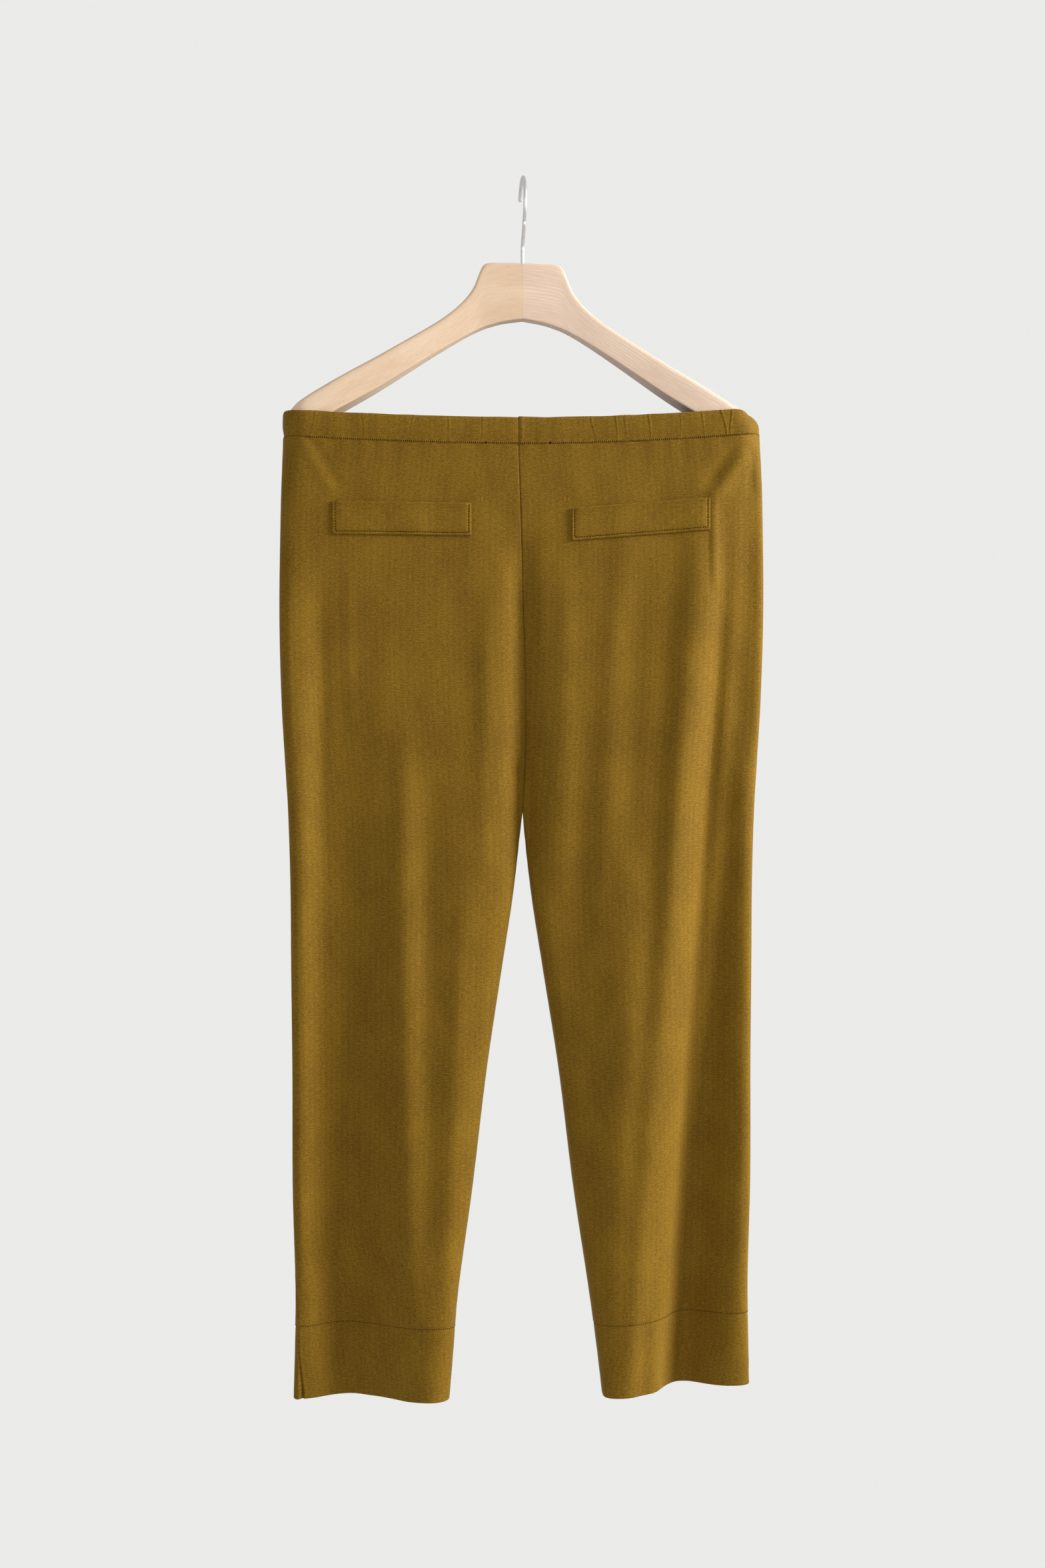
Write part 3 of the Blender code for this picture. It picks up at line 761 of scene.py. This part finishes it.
# ================ hanger
def make_arm(name, half, finish):
    """Half of the hanger: rounded above, with a crisp lower edge."""
    station = graded(JOINT_HALF_GAP, ARM[-1].x, (0, 34, 42, 225), 0.6, 4.0, 0.12)
    top = along(ARM, "top", station, "x")
    bottom = along(ARM, "bottom", station, "x")
    past = np.maximum(0.0, station - (WOOD_HALF_SPAN - WOOD_END_RADIUS))
    thick = np.minimum(along(ARM, "thickness", station, "x") / 2,
                       np.sqrt(WOOD_END_RADIUS ** 2 - past ** 2))
    around = np.linspace(0, 2 * math.pi, 81)[:-1] + 0.02
    up = np.sin(around)[None, :]
    across = np.cos(around)[None, :]
    square = np.where(up > 0, ARM_SQUARENESS_ABOVE, ARM_SQUARENESS_BELOW)
    y = np.sign(across) * np.abs(across) ** (2 / square) * thick[:, None]
    z = np.sign(up) * np.abs(up) ** (2 / square) * ((top - bottom) / 2)[:, None]
    middle = (top + bottom) / 2
    x = half * station
    points = stacked(x[:, None], y, middle[:, None] + z + ARM_SLOPE * x[:, None])
    faces = tube_faces(*y.shape, flipped=half < 0)
    run = np.concatenate(([0.0], np.cumsum(np.hypot(np.diff(station), np.diff(middle)))))
    pattern = stacked(run[:, None], y, z)
    return new_piece(f"{name}_beech", points, faces, finish, pattern, name, sharp=50)


def make_hook(finish):
    """Bent steel wire with a rounded tip."""
    centre_z = WIRE_RADIUS - LOOP_RADIUS
    foot_z = ARM[0].top
    join = math.radians(LOOP_JOIN_ANGLE)
    join_y = LOOP_RADIUS * math.cos(join)
    join_z = centre_z + LOOP_RADIUS * math.sin(join)
    line = [(0.0, foot_z), (0.0, (foot_z + STEM_TOP) / 2), (0.0, STEM_TOP)]
    line += [(join_y * float(ease(t)), STEM_TOP + (join_z - STEM_TOP) * t)
             for t in np.linspace(0, 1, 14)[1:-1]]
    line += [(LOOP_RADIUS * math.cos(angle), centre_z + LOOP_RADIUS * math.sin(angle))
             for angle in np.linspace(join, math.radians(LOOP_TIP_ANGLE), 90)]
    line = np.array(line)
    turn = math.radians(HOOK_TURN)
    path = stacked(-line[:, 0] * math.sin(turn), line[:, 0] * math.cos(turn), line[:, 1])
    run = np.concatenate(([0.0], np.cumsum(np.linalg.norm(np.diff(path, axis=0), axis=1))))
    s = np.concatenate((np.linspace(0, run[-1] - WIRE_RADIUS, 130),
                        run[-1] - WIRE_RADIUS * (1 - np.sin(np.radians([25, 45, 65, 80, 90])))))
    path = np.stack([np.interp(s, run, path[:, i]) for i in range(3)], axis=-1)
    radius = edge_round(run[-1] - s, WIRE_RADIUS)
    ahead = unit(np.gradient(path, axis=0))
    flat = np.array([math.cos(turn), math.sin(turn), 0.0])
    other = unit(np.cross(ahead, flat))
    sides = 16
    around = 2 * math.pi * np.arange(sides) / sides
    ring = (np.cos(around)[None, :, None] * flat[None, None, :]
            + np.sin(around)[None, :, None] * other[:, None, :])
    points = path[:, None, :] + radius[:, None, None] * ring
    faces = tube_faces(len(path), sides)
    pattern = stacked(s[:, None], around * WIRE_RADIUS, 0.0)
    return new_piece("hook_wire", points, faces, finish, pattern, "hook")


# ================ materials
class Shader:
    """Small helper that adds and links the nodes of one material."""

    def __init__(self, name):
        self.material = bpy.data.materials.new(name)
        self.material.use_nodes = True
        self.tree = self.material.node_tree
        self.surface = self.tree.nodes["Principled BSDF"]

    def node(self, kind, values=(), **settings):
        """A node with its settings, and its inputs as (name or number, value or socket)."""
        made = self.tree.nodes.new(kind)
        for key, value in settings.items():
            setattr(made, key, value)
        for place, value in values:
            self.feed(made.inputs[place], value)
        return made

    def feed(self, place, value):
        """Links an input to a socket, or sets its value or colour."""
        if isinstance(value, bpy.types.NodeSocket):
            self.tree.links.new(value, place)
        elif place.type == "RGBA" and len(value) == 3:
            place.default_value = (*value, 1.0)
        else:
            place.default_value = value

    def pattern(self, scale):
        """The piece's own pattern places in millimetres, stretched by scale."""
        places = self.node("ShaderNodeAttribute", attribute_name="pattern")
        mapped = self.node("ShaderNodeMapping", [("Vector", places.outputs["Vector"])])
        mapped.inputs["Scale"].default_value = [1000 * v for v in scale]
        return mapped.outputs["Vector"]

    def noise(self, vector, detail=2.0, roughness=0.5):
        """Noise between about 0 and 1."""
        made = self.node("ShaderNodeTexNoise", [("Vector", vector), ("Scale", 1.0),
                                                ("Detail", detail), ("Roughness", roughness)])
        return made.outputs["Fac"]

    def wave(self, vector, direction, distortion=0.0):
        """Sine bands, one for each unit along the direction."""
        made = self.node("ShaderNodeTexWave", [("Vector", vector), ("Scale", 2 * math.pi / 20),
                         ("Distortion", distortion), ("Detail", 1.0)],
                         wave_type="BANDS", bands_direction=direction, wave_profile="SIN")
        return made.outputs["Fac"]

    def math(self, operation, a, b):
        """Result of an operation on two values."""
        return self.node("ShaderNodeMath", [(0, a), (1, b)], operation=operation).outputs[0]

    def weighted(self, *parts):
        """Sum of parts, each a value and its weight."""
        scaled = [self.math("MULTIPLY", value, weight) for value, weight in parts]
        total = scaled[0]
        for part in scaled[1:]:
            total = self.math("ADD", total, part)
        return total

    def ramp(self, value, stops):
        """Colours at places from 0 to 1."""
        made = self.node("ShaderNodeValToRGB", [("Fac", value)])
        band = made.color_ramp
        band.elements[0].position, band.elements[-1].position = stops[0][0], stops[-1][0]
        for place, colour in stops[1:-1]:
            band.elements.new(place)
        for element, (place, colour) in zip(band.elements, stops):
            element.color = (*colour, 1.0)
        return made.outputs["Color"]

    def mix(self, factor, a, b):
        """Two colours mixed. The inputs 0, 6 and 7 are the factor and the two colours."""
        made = self.node("ShaderNodeMix", [(0, factor), (6, a), (7, b)], data_type="RGBA")
        return made.outputs[2]

    def bump(self, height, distance):
        """Bump of a height from 0 to 1, in millimetres."""
        values = [("Height", height), ("Distance", distance * MM), ("Strength", 1.0)]
        return self.node("ShaderNodeBump", values).outputs["Normal"]

    def finish(self, colour, roughness, normal=None, **constants):
        """Sets the surface. Colour, roughness and normal may be sockets, the rest are values."""
        for place, value in (("Base Color", colour), ("Roughness", roughness), ("Normal", normal)):
            if value is not None:
                self.feed(self.surface.inputs[place], value)
        for place, value in constants.items():
            self.feed(self.surface.inputs[place.replace("_", " ")], value)
        return self.material


JERSEY_DARK = (0.130, 0.066, 0.0028)
JERSEY_MID = (0.184, 0.097, 0.0046)
JERSEY_LIGHT = (0.248, 0.137, 0.0088)


def jersey_material(name, rib_depth):
    """Fine melange jersey: short cross streaks, faint knit columns and a soft sheen."""
    m = Shader(name)
    streaks = m.noise(m.pattern((0.52, 1.35, 1.0)), detail=3.0, roughness=0.65)
    slubs = m.noise(m.pattern((0.15, 0.95, 1.0)), detail=2.0)
    cloudy = m.noise(m.pattern((0.030, 0.018, 1.0)), detail=2.0)
    wide_columns = m.wave(m.pattern((1 / 5.6, 0.012, 1.0)), "X", distortion=2.5)
    tone = m.weighted((streaks, 0.56), (slubs, 0.24), (cloudy, 0.14), (wide_columns, 0.02))
    colour = m.ramp(tone, ((0.40, JERSEY_DARK), (0.48, JERSEY_MID), (0.56, JERSEY_LIGHT)))
    ribs = m.wave(m.pattern((1 / 0.9, 1.0, 1.0)), "X")
    normal = m.bump(m.weighted((ribs, 0.25), (streaks, 0.75)), rib_depth)
    return m.finish(colour, 0.8, normal, Sheen_Weight=0.20, Sheen_Roughness=0.4,
                    Sheen_Tint=(1.0, 0.72, 0.25, 1.0), Specular_IOR_Level=0.16)


def thread_material(name, scale, dark, light):
    """Matt sewing thread. Its dark colours are partly the thread's own, partly painted shade of the
    dents it lies in.
    """
    m = Shader(name)
    twist = m.noise(m.pattern((scale, scale, scale)), detail=1.0)
    return m.finish(m.mix(twist, dark, light), 0.9, Specular_IOR_Level=0.03)


def beech_material(name, pale, deep, fleck, line_share, seed):
    """Pale beech: slow colour change, grain lines along the arm, and short dark flecks.

    seed shifts the grain lines, so that the two arms differ.
    """
    m = Shader(name)
    slow = m.noise(m.pattern((0.012, 0.03, 0.05)), detail=2.0)
    bend = m.noise(m.pattern((0.02, 0.02, 0.08)), detail=1.0)
    places = m.node("ShaderNodeVectorMath", [(0, m.pattern((0.008, 0.05, 0.30)))], operation="ADD")
    shift = m.node("ShaderNodeCombineXYZ", [("X", seed), ("Z", m.math("MULTIPLY", bend, 1.6))])
    m.tree.links.new(shift.outputs[0], places.inputs[1])
    lines = m.wave(places.outputs[0], "Z", distortion=1.2)
    fine = m.noise(m.pattern((0.05, 0.8, 1.6)), detail=3.0, roughness=0.6)
    dashes = m.noise(m.pattern((0.35, 1.2, 2.4)), detail=1.0)
    tone = m.weighted((slow, 0.45), (fine, 0.55))
    colour = m.ramp(tone, ((0.37, deep), (0.60, pale)))
    grain = m.math("MULTIPLY", m.math("POWER", lines, 2.0), line_share)
    colour = m.mix(grain, colour, deep)
    speck = m.node("ShaderNodeMapRange",
                   [("Value", dashes), ("From Min", 0.64), ("From Max", 0.74)])
    share = m.math("MULTIPLY", speck.outputs["Result"], 0.45)
    colour = m.mix(share, colour, fleck)
    normal = m.bump(fine, 0.06)
    return m.finish(colour, 0.42, normal, Specular_IOR_Level=0.4, Coat_Weight=0.08,
                    Coat_Roughness=0.3)


def steel_material():
    """Bright drawn steel wire with fine lengthwise lines."""
    m = Shader("drawn_steel")
    drawn = m.noise(m.pattern((0.03, 4.0, 1.0)), detail=2.0)
    spots = m.noise(m.pattern((0.4, 0.8, 1.0)), detail=2.0)
    roughness = m.math("ADD", 0.24, m.math("MULTIPLY", spots, 0.14))
    colour = m.mix(drawn, (0.78, 0.77, 0.75), (0.95, 0.94, 0.92))
    return m.finish(colour, roughness, m.bump(drawn, 0.02), Metallic=1.0)


# ================ studio
# Places and sizes here are in metres.
BACKDROP_GREY = 0.84
BACKDROP_TINT = (0.985, 0.985, 0.975)
SKY_TINT = (1.0, 0.99, 0.975, 1.0)
SKY_STRENGTH = 0.52
FLOOR_COLOUR = (0.56, 0.56, 0.553)
FLOOR_ROUGHNESS = 0.9
FLOOR_HEIGHT = -1.66
LIGHTS_AIM = (0, 0, -0.65)  # about the middle of the trousers
Light = namedtuple("Light", "name place size power")
LIGHTS = (
    Light("key", (2.50, -0.62, 0.40), 1.0, 132),
    Light("front", (-0.6, -3.2, -0.5), 2.0, 14),
)
CAMERA_LENS = 50.0
CAMERA_DISTANCE = 2.080867
CAMERA_TURN = -2.8          # degrees
CAMERA_HEIGHT = -0.57712


def make_light(light):
    """Soft square light, turned to the middle of the trousers."""
    lamp = bpy.data.lights.new(light.name, "AREA")
    lamp.size = light.size
    lamp.energy = light.power
    made = bpy.data.objects.new(light.name, lamp)
    made.location = light.place
    made.rotation_mode = "QUATERNION"
    aim = Vector(LIGHTS_AIM) - Vector(light.place)
    made.rotation_quaternion = aim.to_track_quat("-Z", "Y")
    bpy.context.scene.collection.objects.link(made)


def make_stage():
    """Pale floor below the hem, a pale surround that only the camera sees, and soft light."""
    world = bpy.data.worlds.new("studio")
    bpy.context.scene.world = world
    world.use_nodes = True
    sky = world.node_tree.nodes["Background"]
    sky.inputs["Color"].default_value = SKY_TINT
    sky.inputs["Strength"].default_value = SKY_STRENGTH

    bpy.ops.mesh.primitive_uv_sphere_add(segments=48, ring_count=24, radius=9.0,
                                         location=(0, 0, -0.6))
    dome = bpy.context.object
    dome.name = "surround"
    paint = Shader("surround")
    paint.tree.nodes.remove(paint.surface)
    glow = paint.node("ShaderNodeEmission", [("Color", BACKDROP_TINT), ("Strength", BACKDROP_GREY)])
    paint.tree.links.new(glow.outputs[0], paint.tree.nodes["Material Output"].inputs["Surface"])
    dome.data.materials.append(paint.material)
    for ray in ("visible_diffuse", "visible_glossy", "visible_transmission", "visible_shadow"):
        setattr(dome, ray, False)

    bpy.ops.mesh.primitive_circle_add(vertices=96, radius=0.8, fill_type="NGON",
                                      location=(0, 0, FLOOR_HEIGHT))
    floor = bpy.context.object
    floor.name = "floor"
    floor.data.materials.append(Shader("floor").finish(FLOOR_COLOUR, FLOOR_ROUGHNESS))
    for light in LIGHTS:
        make_light(light)


def make_camera():
    """Camera of the photograph: level, 50 mm, a little to the left of the middle."""
    lens = bpy.data.cameras.new("camera")
    lens.lens = CAMERA_LENS
    lens.sensor_width = 36.0
    camera = bpy.data.objects.new("camera", lens)
    bpy.context.scene.collection.objects.link(camera)
    bpy.context.scene.camera = camera
    turn = math.radians(CAMERA_TURN)
    camera.location = (CAMERA_DISTANCE * math.sin(turn), -CAMERA_DISTANCE * math.cos(turn),
                       CAMERA_HEIGHT)
    camera.rotation_euler = (math.radians(90), 0.0, turn)


# ================ the scene
make_camera()
make_stage()
bpy.context.scene.view_settings.view_transform = "Standard"

jersey = jersey_material("jersey_melange", 0.12)
band_jersey = jersey_material("jersey_band", 0.16)
# The stitches' near-black thread is partly thread colour, partly painted shade of the needle dents
# and seam gaps.
thread = thread_material("thread", 2.0, (0.012, 0.006, 0.001), (0.026, 0.013, 0.002))
tack = thread_material("tack_thread", 3.0, (0.008, 0.006, 0.005), (0.020, 0.016, 0.014))
beech_left = beech_material("beech_flecked", pale=(0.80, 0.60, 0.42), deep=(0.68, 0.47, 0.30),
                            fleck=(0.42, 0.25, 0.13), line_share=0.12, seed=3.0)
beech_right = beech_material("beech_striped", pale=(0.84, 0.65, 0.50), deep=(0.70, 0.50, 0.37),
                             fleck=(0.50, 0.32, 0.22), line_share=0.62, seed=9.0)
steel = steel_material()

panels = {name: make_panel(name, jersey) for name in PANEL_CUTS}
band, band_outer, band_normal = make_waistband(band_jersey)
# The welts' dark stitches are partly thread and partly painted shade of the dents they lie in.
for welt_row in WELTS:
    strip, sewn = make_welt(welt_row, jersey)
    stitches(f"{welt_row.name}_stitches", sewn, WELT_STITCH, thread)

# The hems' dark stitch dots are partly thread and partly painted shade of the needle dents.
hem_row = int(np.abs(PANEL_ROWS - (HEM + HEM_TURN_UP)).argmin())
for name, (piece, outer, normal) in panels.items():
    hem_line = [(outer[hem_row], normal[hem_row])]
    stitches(f"{name}_hem_stitches", hem_line, HEM_STITCH, thread)

# The stitches of the waist seam follow the band's lowest row, and face as a row above it does.
seam_normal = band_normal[-4]
seam_line = band_outer[-1] + 0.55 * seam_normal - np.array([0.0, 0.0, 0.1])
seam_rows = [(seam_line, seam_normal)]
# Its dark dots between the rucks are partly stitches and partly painted shade of the gaps between
# the rucks.
stitches("waist_seam_stitches_and_gap_shade", seam_rows, WAIST_STITCH, thread, shift=0.5)
stitches("waist_seam_rucks", seam_rows, WAIST_RUCK, jersey, across_line=True)
tack_rows = []
at_back = seam_line[:, 1] < -BAND_RADIUS / 2
for x in TACKS:
    k = int(np.where(at_back, np.abs(seam_line[:, 0] - x), np.inf).argmin())
    near = slice(k - 2, k + 3)
    tack_rows.append((seam_line[near] + seam_normal[k] * 0.3, seam_normal[near]))
stitches("waist_seam_tacks", tack_rows, TACK_STITCH, tack, across_line=True)

make_arm("hanger_left", -1, beech_left)
make_arm("hanger_right", 1, beech_right)
make_hook(steel)
